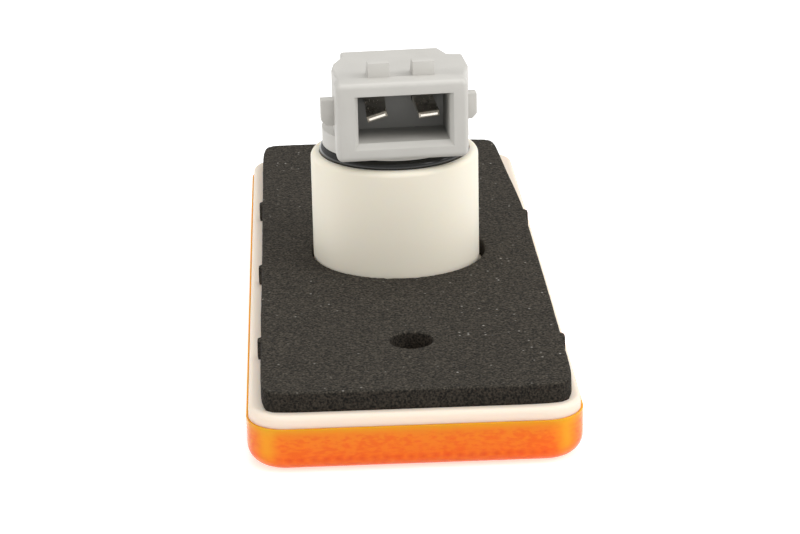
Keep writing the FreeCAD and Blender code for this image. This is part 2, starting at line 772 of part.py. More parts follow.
def make_bulb_lead(name, side):
    """Wire from the filament up through the pinch, folded back down one of its faces."""
    x = number(f"{side}lead_spacing / 2")
    outside = number(f"{side}(pinch_thick / 2 + lead_radius)")
    start = number(f"{BULB_TIP} + filament_place")
    top = number(f"{PINCH_END} + lead_radius")
    end = number(f"{PINCH_END} - lead_fold")
    route = [(x, 0, start), (x, 0, top), (x, outside, top), (x, outside, end)]
    path = Part.makePolygon([FreeCAD.Vector(*point) for point in route])
    section = Part.Wire(Part.makeCircle(number("lead_radius"), path.Vertexes[0].Point))
    mitred_corners = 1
    lead = doc.addObject("Part::Feature", name)
    lead.Label = name
    lead.Shape = path.makePipeShell([section], True, False, mitred_corners)
    turn_with_holder(lead)
    doc.recompute()
    return lead


def make_bulb_filament():
    filament = doc.addObject("Part::Cylinder", "bulb_filament")
    filament.Label = "bulb_filament"
    bind(filament, Radius="filament_radius", Height="lead_spacing + 2 * lead_radius")
    lying = FreeCAD.Rotation(FreeCAD.Vector(0, 1, 0), QUARTER_TURN)
    turned = FreeCAD.Rotation(FreeCAD.Vector(0, 0, 1), number("holder_turn"))
    height = number(f"{BULB_TIP} + filament_place - filament_radius")
    half = number("lead_spacing / 2 + lead_radius")
    start = turned.multVec(FreeCAD.Vector(-half, 0, height))
    filament.Placement = FreeCAD.Placement(start, turned.multiply(lying))
    doc.recompute()
    return filament


pieces = [
    make_lens(),
    make_housing(),
    make_foam_gasket(),
    make_bulb_holder(),
    make_o_ring(),
    make_terminal("terminal_left", "-", "left_blade_twist"),
    make_terminal("terminal_right", "", "right_blade_twist"),
    make_bulb_glass(),
    make_bulb_lead("bulb_lead_left", "-"),
    make_bulb_lead("bulb_lead_right", ""),
    make_bulb_filament(),
]
doc.recompute()

for item in doc.Objects:
    if "Invalid" in item.State or "Error" in item.State:
        raise RuntimeError(f"{item.Name} failed: {item.State}")
for piece in pieces:
    if piece.Shape.isNull() or not piece.Shape.isValid():
        raise RuntimeError(f"{piece.Label} has no sound shape")

os.makedirs("parts", exist_ok=True)
for piece in pieces:
    piece.Shape.exportStep(f"parts/{piece.Label}.step")
    print(piece.Label, len(piece.Shape.Solids), round(piece.Shape.Volume, 1))
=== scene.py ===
import math

import bmesh
import bpy
from mathutils import Matrix, Vector


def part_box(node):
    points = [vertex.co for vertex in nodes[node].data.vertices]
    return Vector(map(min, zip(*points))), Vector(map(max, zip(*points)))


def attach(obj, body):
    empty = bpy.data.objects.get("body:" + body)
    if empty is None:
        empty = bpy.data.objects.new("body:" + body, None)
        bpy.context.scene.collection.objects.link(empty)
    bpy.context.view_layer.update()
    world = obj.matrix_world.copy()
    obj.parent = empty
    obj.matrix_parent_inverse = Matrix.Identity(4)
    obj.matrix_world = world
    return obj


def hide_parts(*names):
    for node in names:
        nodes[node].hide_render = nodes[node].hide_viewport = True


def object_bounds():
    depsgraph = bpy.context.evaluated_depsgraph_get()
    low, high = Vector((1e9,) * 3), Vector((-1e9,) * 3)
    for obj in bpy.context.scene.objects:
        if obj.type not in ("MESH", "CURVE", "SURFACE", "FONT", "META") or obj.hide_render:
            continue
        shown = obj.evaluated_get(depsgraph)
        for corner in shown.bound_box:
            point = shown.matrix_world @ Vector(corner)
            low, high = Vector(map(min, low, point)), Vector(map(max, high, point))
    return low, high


# Clearance lamp lying on its lens, with the bulb holder on top, seen from in front of one short end.
# Metres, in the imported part's own frame: X is the lamp's width, Y its length and Z its height.

MM = 0.001

# Camera, fitted to the edges of the lens, flange, foam and tower, then turned a little
IMAGE_WIDTH = 800
FOCAL_PIXELS = 2536.2
CAMERA_PLACE = Vector((-13.055, -340.257, 128.631)) * MM
CAMERA_YAW = 0.0397
CAMERA_PITCH = 0.3424
CAMERA_ROLL = -0.0206
CAMERA_NEAREST = 0.01
SENSOR_WIDTH = 36.0

# Foam sheet: the pits of its skin, its wavy edge, and how it is stretched and drawn in
FOAM_VOXEL = 0.3 * MM
FOAM_CELL = 1.1 * MM
FOAM_PIT = 0.1 * MM
FOAM_WAVE_LENGTH = 16.0 * MM
FOAM_WAVE = 0.22 * MM
FOAM_STRETCH = 0.4 * MM
FOAM_CORNER = 1.2 * MM
CORNER_POWER_ACROSS = 10.0
CORNER_POWER_ALONG = 26.0
FOAM_TAPER = 1.5 * MM
FOAM_TAPER_START = 12.0 * MM

# Foam finish: cells, walls and dust specks for each metre
FOAM_CELL_SCALE = 2300.0
FOAM_WALL_SCALE = 3800.0
DUST_SCALE = 900.0
DUST_SPREAD_SCALE = 60.0

# Lens: prisms on the inside of its face that show through its walls, and the painted light along the rim
# under the flange
PRISM_PITCH = 1.5 * MM
COMB_LOW = 1.2 * MM
COMB_HIGH = 2.4 * MM
PAINTED_RIM_LIGHT = 1.1 * MM
DEEP_PRISM_SCALE = Vector((1100.0, 1100.0, 2600.0))
DEEP_PRISM_TOP = 5.8 * MM
DEEP_PRISM_FADE = 1.4 * MM

# Lens: where its face begins, and where its walls turn a corner and get painted light, by the parts of their
# normals
FACE_START = -0.8
FACE_FULL = -0.95
CORNER_START = 0.12
CORNER_PEAK = 0.5
CORNER_STOP = 0.85
END_WALL_START = 0.3
END_WALL_FULL = 0.7
PAINTED_CORNER_LIGHT_LOW = 3.0 * MM

# Housing: how far above the flange the painted amber glow of the lens reaches
PAINTED_GLOW_REACH = 4.0 * MM

# Room inside the connector, where shade is painted, its middle measured from the front and the top of the
# bulb holder
CAVITY_MIDDLE = Vector((0.75, 9.0, -7.2)) * MM
CAVITY_HALF_SIZE = Vector((7.5, 8.0, 4.4)) * MM
CAVITY_FADE = 1.1 * MM
CAVITY_DEPTH_FADE = 6.5 * MM

# Blades: lines drawn along the strip
DRAWN_LINE_SCALE = Vector((6000.0, 250.0, 6000.0))

# Merged copies of the solids, and the softened edges of the holder
MOULD_EDGE = 0.16 * MM
MOULD_EDGE_STEPS = 2
SMOOTH_ANGLE = math.radians(32)
FLAT_ANGLE = math.radians(0.6)
MERGE_DISTANCE = 0.002 * MM
SHADING_ATTRIBUTES = ("custom_normal", "sharp_edge", "sharp_face")

# Filament
COIL_TURNS = 16
COIL_WIRE = 0.045 * MM
COIL_STEPS = 14
WIRE_SIDES = 8

# Floor and light
FLOOR_SIDE = 6.0
FLOOR_GAP = 0.02 * MM
FLOOR_PAINT = 0.9
FLOOR_GLOW = 0.45
ROOM_LIGHT = 0.54
LIGHT_AIM = Vector((0.0, 0.0, 15.0)) * MM

FLOAT = "NodeSocketFloat"
VECTOR = "NodeSocketVector"
GEOMETRY = "NodeSocketGeometry"
MATERIAL = "NodeSocketMaterial"

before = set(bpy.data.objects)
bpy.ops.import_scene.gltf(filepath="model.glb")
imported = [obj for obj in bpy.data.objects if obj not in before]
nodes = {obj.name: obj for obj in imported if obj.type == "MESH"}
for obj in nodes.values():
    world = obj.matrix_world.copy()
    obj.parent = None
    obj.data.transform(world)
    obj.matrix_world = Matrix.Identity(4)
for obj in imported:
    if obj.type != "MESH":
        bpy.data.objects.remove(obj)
cad_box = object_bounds()
scene = bpy.context.scene


# Node trees

def add_node(tree, kind, inputs=None, **settings):
    """A node with its settings and the values of its inputs, by the inputs' names or numbers."""
    node = tree.nodes.new(kind)
    for name, value in settings.items():
        setattr(node, name, value)
    for name, value in (inputs or {}).items():
        node.inputs[name].default_value = value
    return node


def join(tree, source, target):
    tree.links.new(source, target)


def feed(tree, value, target):
    """Give an input a plain value, or join it to the socket that the value is."""
    if isinstance(value, bpy.types.NodeSocket):
        join(tree, value, target)
    else:
        target.default_value = value


def new_group(name, kind, inputs, outputs):
    """A node group with its ends; a socket is a name, a type and, for an input, its first value."""
    tree = bpy.data.node_groups.new(name, kind)
    for socket_name, socket_type, value in inputs:
        socket = tree.interface.new_socket(socket_name, in_out="INPUT", socket_type=socket_type)
        if value is not None:
            socket.default_value = value
    for socket_name, socket_type in outputs:
        tree.interface.new_socket(socket_name, in_out="OUTPUT", socket_type=socket_type)
    start = add_node(tree, "NodeGroupInput")
    end = add_node(tree, "NodeGroupOutput")
    return tree, start.outputs, end.inputs


def maths(tree, operation, first, second=0.0):
    node = add_node(tree, "ShaderNodeMath", operation=operation)
    feed(tree, first, node.inputs[0])
    feed(tree, second, node.inputs[1])
    return node.outputs["Value"]


def vector_maths(tree, operation, first, second=None):
    node = add_node(tree, "ShaderNodeVectorMath", operation=operation)
    join(tree, first, node.inputs[0])
    if second is not None:
        join(tree, second, node.inputs[1])
    return node.outputs["Vector"]


def split_axes(tree, vector):
    """The outputs X, Y and Z of a vector."""
    node = add_node(tree, "ShaderNodeSeparateXYZ")
    join(tree, vector, node.inputs["Vector"])
    return node.outputs


def ramp(tree, value, start, stop, kind="SMOOTHSTEP"):
    """0 where a value is at start and 1 where it is at stop."""
    node = add_node(tree, "ShaderNodeMapRange", interpolation_type=kind)
    join(tree, value, node.inputs["Value"])
    feed(tree, start, node.inputs["From Min"])
    feed(tree, stop, node.inputs["From Max"])
    return node.outputs["Result"]


def remap(tree, value, low, high, start=0.0, stop=1.0):
    """A value between start and stop, stretched to lie between low and high."""
    limits = {"From Min": start, "From Max": stop, "To Min": low, "To Max": high}
    node = add_node(tree, "ShaderNodeMapRange", limits)
    join(tree, value, node.inputs["Value"])
    return node.outputs["Result"]


def blend_values(tree, factor, first, second):
    node = add_node(tree, "ShaderNodeMix", data_type="FLOAT")
    join(tree, factor, node.inputs[0])
    join(tree, first, node.inputs[2])
    join(tree, second, node.inputs[3])
    return node.outputs[0]


def blend_colours(tree, factor, first, second):
    """A colour between two others, which may be given as values or as sockets."""
    node = add_node(tree, "ShaderNodeMix", data_type="RGBA")
    join(tree, factor, node.inputs["Factor"])
    for place, colour in ((6, first), (7, second)):
        if isinstance(colour, bpy.types.NodeSocket):
            join(tree, colour, node.inputs[place])
        else:
            node.inputs[place].default_value = (*colour, 1.0)
    return node.outputs[2]


def tint(tree, colour, second, mask, share):
    """A colour that goes this share of the way to a second one where a mask is 1."""
    return blend_colours(tree, remap(tree, mask, low=0.0, high=share), colour, second)


def stretched_noise(tree, scale, detail):
    """Noise by place on the piece, with its own scale along each axis."""
    place = add_node(tree, "ShaderNodeTexCoord")
    stretch = add_node(tree, "ShaderNodeMapping", {"Scale": scale})
    noise = add_node(tree, "ShaderNodeTexNoise", {"Scale": 1.0, "Detail": detail})
    join(tree, place.outputs["Object"], stretch.inputs["Vector"])
    join(tree, stretch.outputs["Vector"], noise.inputs["Vector"])
    return noise.outputs["Fac"]


# Shared effects

def make_moulded_skin():
    """Broad mottling and fine grain of a moulded surface, by place on the piece."""
    tree, start, end = new_group(
        "moulded_skin",
        "ShaderNodeTree",
        [("Mottle Scale", FLOAT, 150.0), ("Grain Scale", FLOAT, 3000.0)],
        [("Mottle", FLOAT), ("Grain", FLOAT)],
    )
    place = add_node(tree, "ShaderNodeTexCoord")
    for size, result, detail in (("Mottle Scale", "Mottle", 3.0), ("Grain Scale", "Grain", 2.0)):
        texture = add_node(tree, "ShaderNodeTexNoise", {"Detail": detail})
        join(tree, place.outputs["Object"], texture.inputs["Vector"])
        join(tree, start[size], texture.inputs["Scale"])
        join(tree, texture.outputs["Fac"], end[result])
    return tree


def make_height_band():
    """A value that goes from 0 at one height of the lamp to 1 at another."""
    tree, start, end = new_group(
        "height_band",
        "ShaderNodeTree",
        [("Low", FLOAT, 0.0), ("High", FLOAT, 0.01)],
        [("Share", FLOAT)],
    )
    place = add_node(tree, "ShaderNodeTexCoord")
    axes = split_axes(tree, place.outputs["Object"])
    join(tree, ramp(tree, axes["Z"], start["Low"], start["High"]), end["Share"])
    return tree


def make_corner_band():
    """A value that is 1 where an upright wall turns a corner of the lamp, and 0 on its straight runs."""
    tree, start, end = new_group(
        "corner_band",
        "ShaderNodeTree",
        [("Start", FLOAT, CORNER_START), ("Peak", FLOAT, CORNER_PEAK), ("Stop", FLOAT, CORNER_STOP)],
        [("Share", FLOAT)],
    )
    place = add_node(tree, "ShaderNodeTexCoord")
    facing = split_axes(tree, vector_maths(tree, "ABSOLUTE", place.outputs["Normal"]))
    rise = ramp(tree, facing["X"], start["Start"], start["Peak"])
    fall = ramp(tree, facing["X"], start["Stop"], start["Peak"])
    end_wall = ramp(tree, facing["Y"], END_WALL_START, END_WALL_FULL, "LINEAR")
    join(tree, maths(tree, "MULTIPLY", maths(tree, "MULTIPLY", rise, fall), end_wall), end["Share"])
    return tree


def make_prism_comb():
    """Prisms inside a clear tray: teeth round its walls between two heights, and a grid on its lower face."""
    tree, start, end = new_group(
        "prism_comb",
        "ShaderNodeTree",
        [("Pitch", FLOAT, PRISM_PITCH), ("Low", FLOAT, COMB_LOW), ("High", FLOAT, COMB_HIGH)],
        [("Teeth", FLOAT), ("Grid", FLOAT)],
    )
    place = add_node(tree, "ShaderNodeTexCoord")
    axes = split_axes(tree, place.outputs["Object"])
    facing = split_axes(tree, place.outputs["Normal"])

    teeth = {}
    for axis in ("X", "Y"):
        turns = maths(tree, "DIVIDE", axes[axis], start["Pitch"])
        teeth[axis] = maths(tree, "PINGPONG", maths(tree, "MULTIPLY", turns, 2.0), 1.0)

    on_side = maths(tree, "ABSOLUTE", facing["X"])
    along = blend_values(tree, on_side, teeth["X"], teeth["Y"])
    height = ramp(tree, axes["Z"], start["Low"], start["High"], "LINEAR")
    peak = maths(tree, "PINGPONG", maths(tree, "MULTIPLY", height, 2.0), 1.0)
    join(tree, maths(tree, "MULTIPLY", along, peak), end["Teeth"])

    crossed = maths(tree, "MAXIMUM", teeth["X"], teeth["Y"])
    downward = ramp(tree, facing["Z"], FACE_START, FACE_FULL, "LINEAR")
    join(tree, maths(tree, "MULTIPLY", crossed, downward), end["Grid"])
    return tree


def make_painted_shade_room():
    """A value that is 1 deep inside a box and fades to 0 towards its sides, and more slowly along Y; it
    places painted shade.
    """
    tree, start, end = new_group(
        "painted_shade_room",
        "ShaderNodeTree",
        [
            ("Middle", VECTOR, None),
            ("Half Size", VECTOR, None),
            ("Fade", FLOAT, CAVITY_FADE),
            ("Depth Fade", FLOAT, CAVITY_DEPTH_FADE),
        ],
        [("Share", FLOAT)],
    )
    place = add_node(tree, "ShaderNodeTexCoord")
    away = vector_maths(tree, "SUBTRACT", place.outputs["Object"], start["Middle"])
    distance = vector_maths(tree, "ABSOLUTE", away)
    depth = split_axes(tree, vector_maths(tree, "SUBTRACT", start["Half Size"], distance))
    nearest = maths(tree, "MINIMUM", depth["X"], depth["Z"])
    within = ramp(tree, nearest, 0.0, start["Fade"])
    deep = ramp(tree, depth["Y"], 0.0, start["Depth Fade"])
    join(tree, maths(tree, "MULTIPLY", within, deep), end["Share"])
    return tree


moulded_skin = make_moulded_skin()
height_band = make_height_band()
corner_band = make_corner_band()
prism_comb = make_prism_comb()
painted_shade_room = make_painted_shade_room()


# Materials

def new_material(name, **constants):
    """A material whose Principled shader has these plain values, by the names of its inputs."""
    material = bpy.data.materials.new(name)
    material.use_nodes = True
    shader = material.node_tree.nodes["Principled BSDF"]
    for socket, value in constants.items():
        shader.inputs[socket.replace("_", " ")].default_value = value
    return material, material.node_tree, shader


def add_effect(tree, group, **values):
    """The outputs of a shared effect with these values, by the names of its inputs."""
    node = add_node(tree, "ShaderNodeGroup", node_tree=group)
    for socket, value in values.items():
        node.inputs[socket.replace("_", " ")].default_value = value
    return node.outputs


def add_bump(tree, shader, height, strength, depth):
    bump = add_node(tree, "ShaderNodeBump", {"Strength": strength, "Distance": depth})
    join(tree, height, bump.inputs["Height"])
    join(tree, bump.outputs["Normal"], shader.inputs["Normal"])


def let_light_through(tree, shader, shadow_colour):
    """Shadow rays pass through a clear piece and take its colour, so that what is behind it is lit."""
    clear = add_node(tree, "ShaderNodeBsdfTransparent", {"Color": (*shadow_colour, 1.0)})
    path = add_node(tree, "ShaderNodeLightPath")
    mix = add_node(tree, "ShaderNodeMixShader")
    output = tree.nodes["Material Output"]
    join(tree, path.outputs["Is Shadow Ray"], mix.inputs["Fac"])
    join(tree, shader.outputs["BSDF"], mix.inputs[1])
    join(tree, clear.outputs["BSDF"], mix.inputs[2])
    join(tree, mix.outputs["Shader"], output.inputs["Surface"])


def make_amber_lens():
    """Amber plastic, deeper in colour near its face, with prisms showing through its walls, and painted light
    along the rim under the flange and up the corners of its walls.
    """
    low_amber = (1.0, 0.165, 0.004)
    high_amber = (1.0, 0.27, 0.004)
    mottled_amber = (1.0, 0.16, 0.004)
    deep_amber = (0.92, 0.115, 0.002)
    tooth_amber = (0.8, 0.07, 0.002)
    grid_amber = (1.0, 0.34, 0.006)
    painted_rim_light_amber = (1.0, 0.32, 0.004)
    painted_corner_light_amber = (1.0, 0.4, 0.004)
    shadow_amber = (1.0, 0.75, 0.5)
    low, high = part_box("lens")
    material, tree, shader = new_material(
        "amber_lens",
        IOR=1.49,
        Specular_IOR_Level=0.15,
        Transmission_Weight=0.15,
        Subsurface_Weight=0.8,
        Subsurface_Radius=(1.0, 0.4, 0.08),
        Subsurface_Scale=4.0 * MM,
    )
    skin = add_effect(tree, moulded_skin, Mottle_Scale=120.0, Grain_Scale=2200.0)
    band = add_effect(tree, height_band, Low=low.z, High=high.z)
    body = blend_colours(tree, band["Share"], low_amber, high_amber)
    mottled = tint(tree, body, mottled_amber, skin["Mottle"], share=0.3)

    broken = stretched_noise(tree, DEEP_PRISM_SCALE, detail=3.0)
    patches = remap(tree, broken, low=0.0, high=0.6, start=0.42, stop=0.62)
    below = add_effect(tree, height_band, Low=DEEP_PRISM_TOP, High=DEEP_PRISM_TOP - DEEP_PRISM_FADE)
    depths = maths(tree, "MULTIPLY", patches, below["Share"])
    deepened = blend_colours(tree, depths, mottled, deep_amber)
    comb = add_effect(tree, prism_comb, Pitch=PRISM_PITCH, Low=COMB_LOW, High=COMB_HIGH)
    toothed = tint(tree, deepened, tooth_amber, comb["Teeth"], share=0.7)
    gridded = tint(tree, toothed, grid_amber, comb["Grid"], share=0.6)

    # Painted light: a brighter band along the rim under the flange.
    rim = add_effect(tree, height_band, Low=high.z - PAINTED_RIM_LIGHT, High=high.z)
    with_painted_rim_light = blend_colours(tree, rim["Share"], gridded, painted_rim_light_amber)
    # Painted light: brighter bands where the walls turn a corner, above the face.
    corner = add_effect(tree, corner_band)
    raised = add_effect(tree, height_band, Low=low.z, High=low.z + PAINTED_CORNER_LIGHT_LOW)
    painted_corner_light = maths(tree, "MULTIPLY", corner["Share"], raised["Share"])
    lit = tint(tree, with_painted_rim_light, painted_corner_light_amber, painted_corner_light, share=0.8)
    join(tree, lit, shader.inputs["Base Color"])
    join(tree, remap(tree, skin["Grain"], low=0.05, high=0.14), shader.inputs["Roughness"])
    let_light_through(tree, shader, shadow_amber)
    return material


def make_ivory_housing():
    """Ivory plastic that lets a little light in, with a painted amber glow from the lens near its flange."""
    painted_lens_glow_ivory = (0.79, 0.62, 0.52)
    pale_ivory = (0.83, 0.775, 0.65)
    mottled_ivory = (0.8, 0.73, 0.6)
    flange_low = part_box("housing")[0].z
    flange_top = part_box("foam_gasket")[0].z
    material, tree, shader = new_material(
        "ivory_housing",
        Subsurface_Weight=0.35,
        Subsurface_Radius=(1.0, 0.75, 0.5),
        Subsurface_Scale=1.2 * MM,
        Specular_IOR_Level=0.45,
    )
    skin = add_effect(tree, moulded_skin, Mottle_Scale=90.0, Grain_Scale=2600.0)
    # Painted light: the lens's amber glow, strongest at the flange and fading upward.
    band = add_effect(tree, height_band, Low=flange_low, High=flange_top + PAINTED_GLOW_REACH)
    body = blend_colours(tree, band["Share"], painted_lens_glow_ivory, pale_ivory)
    mottled = tint(tree, body, mottled_ivory, skin["Mottle"], share=0.2)
    join(tree, mottled, shader.inputs["Base Color"])
    join(tree, remap(tree, skin["Grain"], low=0.48, high=0.62), shader.inputs["Roughness"])
    add_bump(tree, shader, skin["Grain"], strength=0.12, depth=0.03 * MM)
    return material


def make_grey_holder():
    """Satin grey, with painted shade inside the connector, where little light comes in."""
    dark_grey = (0.48, 0.465, 0.43)
    pale_grey = (0.56, 0.545, 0.51)
    painted_shade_grey = (0.16, 0.158, 0.148)
    low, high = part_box("bulb_holder")
    material, tree, shader = new_material("grey_holder", Specular_IOR_Level=0.4)
    skin = add_effect(tree, moulded_skin, Mottle_Scale=170.0, Grain_Scale=3200.0)
    body = blend_colours(tree, skin["Mottle"], dark_grey, pale_grey)
    # Painted shade: the inside of the connector is darkened in the colour.
    painted_shade_share = add_effect(
        tree,
        painted_shade_room,
        Middle=CAVITY_MIDDLE + Vector((0.0, low.y, high.z)),
        Half_Size=CAVITY_HALF_SIZE,
        Fade=CAVITY_FADE,
        Depth_Fade=CAVITY_DEPTH_FADE,
    )
    shaded = blend_colours(tree, painted_shade_share["Share"], body, painted_shade_grey)
    join(tree, shaded, shader.inputs["Base Color"])
    join(tree, remap(tree, skin["Grain"], low=0.42, high=0.6), shader.inputs["Roughness"])
    add_bump(tree, shader, skin["Grain"], strength=0.25, depth=0.04 * MM)
    return material


def make_black_rubber():
    """Smooth, slightly oily rubber."""
    deep_black = (0.006, 0.006, 0.005)
    worn_black = (0.014, 0.014, 0.012)
    material, tree, shader = new_material("black_rubber", Specular_IOR_Level=0.5)
    skin = add_effect(tree, moulded_skin, Mottle_Scale=260.0, Grain_Scale=3800.0)
    join(tree, blend_colours(tree, skin["Mottle"], deep_black, worn_black), shader.inputs["Base Color"])
    join(tree, remap(tree, skin["Mottle"], low=0.1, high=0.24), shader.inputs["Roughness"])
    add_bump(tree, shader, skin["Grain"], strength=0.08, depth=0.02 * MM)
    return material


def make_tinned_metal():
    """Tinned blade: drawn lines along the strip, and a warm cast where the tin is thin."""
    thin_tin = (0.62, 0.55, 0.45)
    full_tin = (0.8, 0.78, 0.73)
    material, tree, shader = new_material("tinned_metal", Metallic=1.0)
    lines = stretched_noise(tree, DRAWN_LINE_SCALE, detail=2.0)
    skin = add_effect(tree, moulded_skin, Mottle_Scale=700.0, Grain_Scale=4000.0)
    join(tree, blend_colours(tree, skin["Mottle"], thin_tin, full_tin), shader.inputs["Base Color"])
    join(tree, remap(tree, lines, low=0.14, high=0.34), shader.inputs["Roughness"])
    add_bump(tree, shader, lines, strength=0.2, depth=0.02 * MM)
    return material


def make_clear_glass():
    """Bulb glass, hardly tinted."""
    faint_tint = (0.95, 0.97, 0.96)
    clear = (0.99, 1.0, 1.0)
    shadow_tint = (0.97, 0.98, 0.98)
    material, tree, shader = new_material("clear_glass", IOR=1.5, Transmission_Weight=1.0)
    skin = add_effect(tree, moulded_skin, Mottle_Scale=200.0, Grain_Scale=1500.0)
    join(tree, blend_colours(tree, skin["Mottle"], faint_tint, clear), shader.inputs["Base Color"])
    join(tree, remap(tree, skin["Mottle"], low=0.0, high=0.04), shader.inputs["Roughness"])
    let_light_through(tree, shader, shadow_tint)
    return material


def make_wire(name, pale, dark):
    material, tree, shader = new_material(name, Metallic=1.0)
    skin = add_effect(tree, moulded_skin, Mottle_Scale=900.0, Grain_Scale=6000.0)
    join(tree, blend_colours(tree, skin["Mottle"], dark, pale), shader.inputs["Base Color"])
    join(tree, remap(tree, skin["Grain"], low=0.25, high=0.45), shader.inputs["Roughness"])
    return material


def make_black_foam():
    """Closed-cell foam: dark cells between paler walls, dust in some cells, and darker cut faces on its
    sides, partly open cells and partly painted shade.
    """
    cell_black = (0.012, 0.011, 0.009)
    wall_brown = (0.085, 0.073, 0.057)
    pit_black = (0.014, 0.0125, 0.01)
    dust_grey = (0.34, 0.32, 0.29)
    cut_and_shade_black = (0.006, 0.0055, 0.0045)
    cut_and_shade_brown = (0.042, 0.035, 0.027)
    material, tree, shader = new_material("black_foam", Specular_IOR_Level=0.18, Roughness=0.95)
    place = add_node(tree, "ShaderNodeTexCoord")
    cells = add_node(tree, "ShaderNodeTexVoronoi", {"Scale": FOAM_CELL_SCALE, "Randomness": 1.0})
    walls = add_node(tree, "ShaderNodeTexNoise", {"Scale": FOAM_WALL_SCALE, "Detail": 3.0})
    dust = add_node(tree, "ShaderNodeTexVoronoi", {"Scale": DUST_SCALE, "Randomness": 1.0})
    spread = add_node(tree, "ShaderNodeTexNoise", {"Scale": DUST_SPREAD_SCALE, "Detail": 1.0})
    for texture in (cells, walls, dust, spread):
        join(tree, place.outputs["Object"], texture.inputs["Vector"])

    shade = remap(tree, walls.outputs["Fac"], low=0.0, high=1.0, start=0.36, stop=0.66)
    skin = blend_colours(tree, shade, cell_black, wall_brown)
    pits = remap(tree, cells.outputs["Distance"], low=0.0, high=0.55, start=0.25, stop=0.75)
    celled = blend_colours(tree, pits, skin, pit_black)

    chosen = add_node(tree, "ShaderNodeSeparateColor")
    join(tree, dust.outputs["Color"], chosen.inputs["Color"])
    rare = remap(tree, chosen.outputs["Red"], low=0.0, high=1.0, start=0.55, stop=0.95)
    small = remap(tree, dust.outputs["Distance"], low=1.0, high=0.0, start=0.06, stop=0.18)
    gathered = remap(tree, spread.outputs["Fac"], low=0.25, high=1.0, start=0.4, stop=0.6)
    specks = maths(tree, "MULTIPLY", maths(tree, "MULTIPLY", rare, small), gathered)
    dusty = blend_colours(tree, specks, celled, dust_grey)

    # The sides are darker than the top: partly open cut cells, partly painted shade.
    facing = split_axes(tree, place.outputs["Normal"])
    upward = remap(tree, facing["Z"], low=0.0, high=1.0, start=0.45, stop=0.65)
    cut_and_shaded_face = blend_colours(tree, shade, cut_and_shade_black, cut_and_shade_brown)
    join(tree, blend_colours(tree, upward, cut_and_shaded_face, dusty), shader.inputs["Base Color"])
    add_bump(tree, shader, cells.outputs["Distance"], strength=0.7, depth=0.16 * MM)
    return material


amber_lens = make_amber_lens()
ivory_housing = make_ivory_housing()
grey_holder = make_grey_holder()
black_rubber = make_black_rubber()
tinned_metal = make_tinned_metal()
clear_glass = make_clear_glass()
bulb_wire = make_wire("bulb_wire", pale=(0.66, 0.58, 0.5), dark=(0.5, 0.42, 0.36))
filament_wire = make_wire("filament_wire", pale=(0.42, 0.42, 0.44), dark=(0.28, 0.28, 0.3))
black_foam = make_black_foam()


# Meshes

def copy_node(node, name):
    """A merged copy of a CAD node's mesh without its own normals, as a new object at the origin."""
    mesh = nodes[node].data.copy()
    mesh.name = name
    mesh.materials.clear()
    for attribute in SHADING_ATTRIBUTES:
        if attribute in mesh.attributes:
            mesh.attributes.remove(mesh.attributes[attribute])
    shape = bmesh.new()
    shape.from_mesh(mesh)
    bmesh.ops.remove_doubles(shape, verts=shape.verts, dist=MERGE_DISTANCE)
    bmesh.ops.dissolve_limit(shape, angle_limit=FLAT_ANGLE, verts=shape.verts, edges=shape.edges)
    shape.to_mesh(mesh)
    shape.free()
    piece = bpy.data.objects.new(name, mesh)
    scene.collection.objects.link(piece)
    return piece


def freeze(piece):
    """Turn a piece's modifiers into a plain mesh."""
    mesh = bpy.data.meshes.new_from_object(piece.evaluated_get(bpy.context.evaluated_depsgraph_get()))
    piece.modifiers.clear()
    piece.data = mesh


def smooth_faces(piece):
    piece.data.polygons.foreach_set("use_smooth", [True] * len(piece.data.polygons))


def smooth_between_edges(piece):
    """Smooth shading that stops at the edges of the piece."""
    smooth_faces(piece)
    piece.data.set_sharp_from_angle(angle=SMOOTH_ANGLE)


def stand_for(piece, node):
    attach(piece, "root")
    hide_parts(node)


def finish_tree(tree, geometry, start, end):
    """Realize the instances and set the material, as each tree ends."""
    realize = add_node(tree, "GeometryNodeRealizeInstances")
    paint = add_node(tree, "GeometryNodeSetMaterial")
    join(tree, geometry, realize.inputs["Geometry"])
    join(tree, realize.outputs["Geometry"], paint.inputs["Geometry"])
    join(tree, start["Material"], paint.inputs["Material"])
    join(tree, paint.outputs["Geometry"], end["Geometry"])


def run_tree(piece, tree, **values):
    """Run a tree on a piece with these inputs and keep the result as a plain mesh."""
    modifier = piece.modifiers.new(tree.name, "NODES")
    modifier.node_group = tree
    sockets = {item.name: item.identifier for item in tree.interface.items_tree if item.in_out == "INPUT"}
    for name, value in values.items():
        modifier[sockets[name.replace("_", " ")]] = value
    freeze(piece)


# Moulded and metal pieces

def dress(node, material):
    """A smooth-shaded copy of a CAD node in its material."""
    piece = copy_node(node, node + "_skin")
    piece.data.materials.append(material)
    smooth_between_edges(piece)
    stand_for(piece, node)


def make_bulb_holder():
    """The bulb holder with the softened edges of a moulding."""
    piece = copy_node("bulb_holder", "bulb_holder_skin")
    piece.data.materials.append(grey_holder)
    edge = piece.modifiers.new("moulded_edges", "BEVEL")
    edge.width = MOULD_EDGE
    edge.segments = MOULD_EDGE_STEPS
    edge.limit_method = "ANGLE"
    edge.angle_limit = SMOOTH_ANGLE
    freeze(piece)
    smooth_between_edges(piece)
    stand_for(piece, "bulb_holder")


# Foam gasket

def noise_of_length(tree, place, length, detail):
    """Noise whose bumps are about this long."""
    texture = add_node(tree, "ShaderNodeTexNoise", {"Detail": detail})
    join(tree, place, texture.inputs["Vector"])
    join(tree, maths(tree, "DIVIDE", 1.0, length), texture.inputs["Scale"])
    return texture.outputs["Fac"]


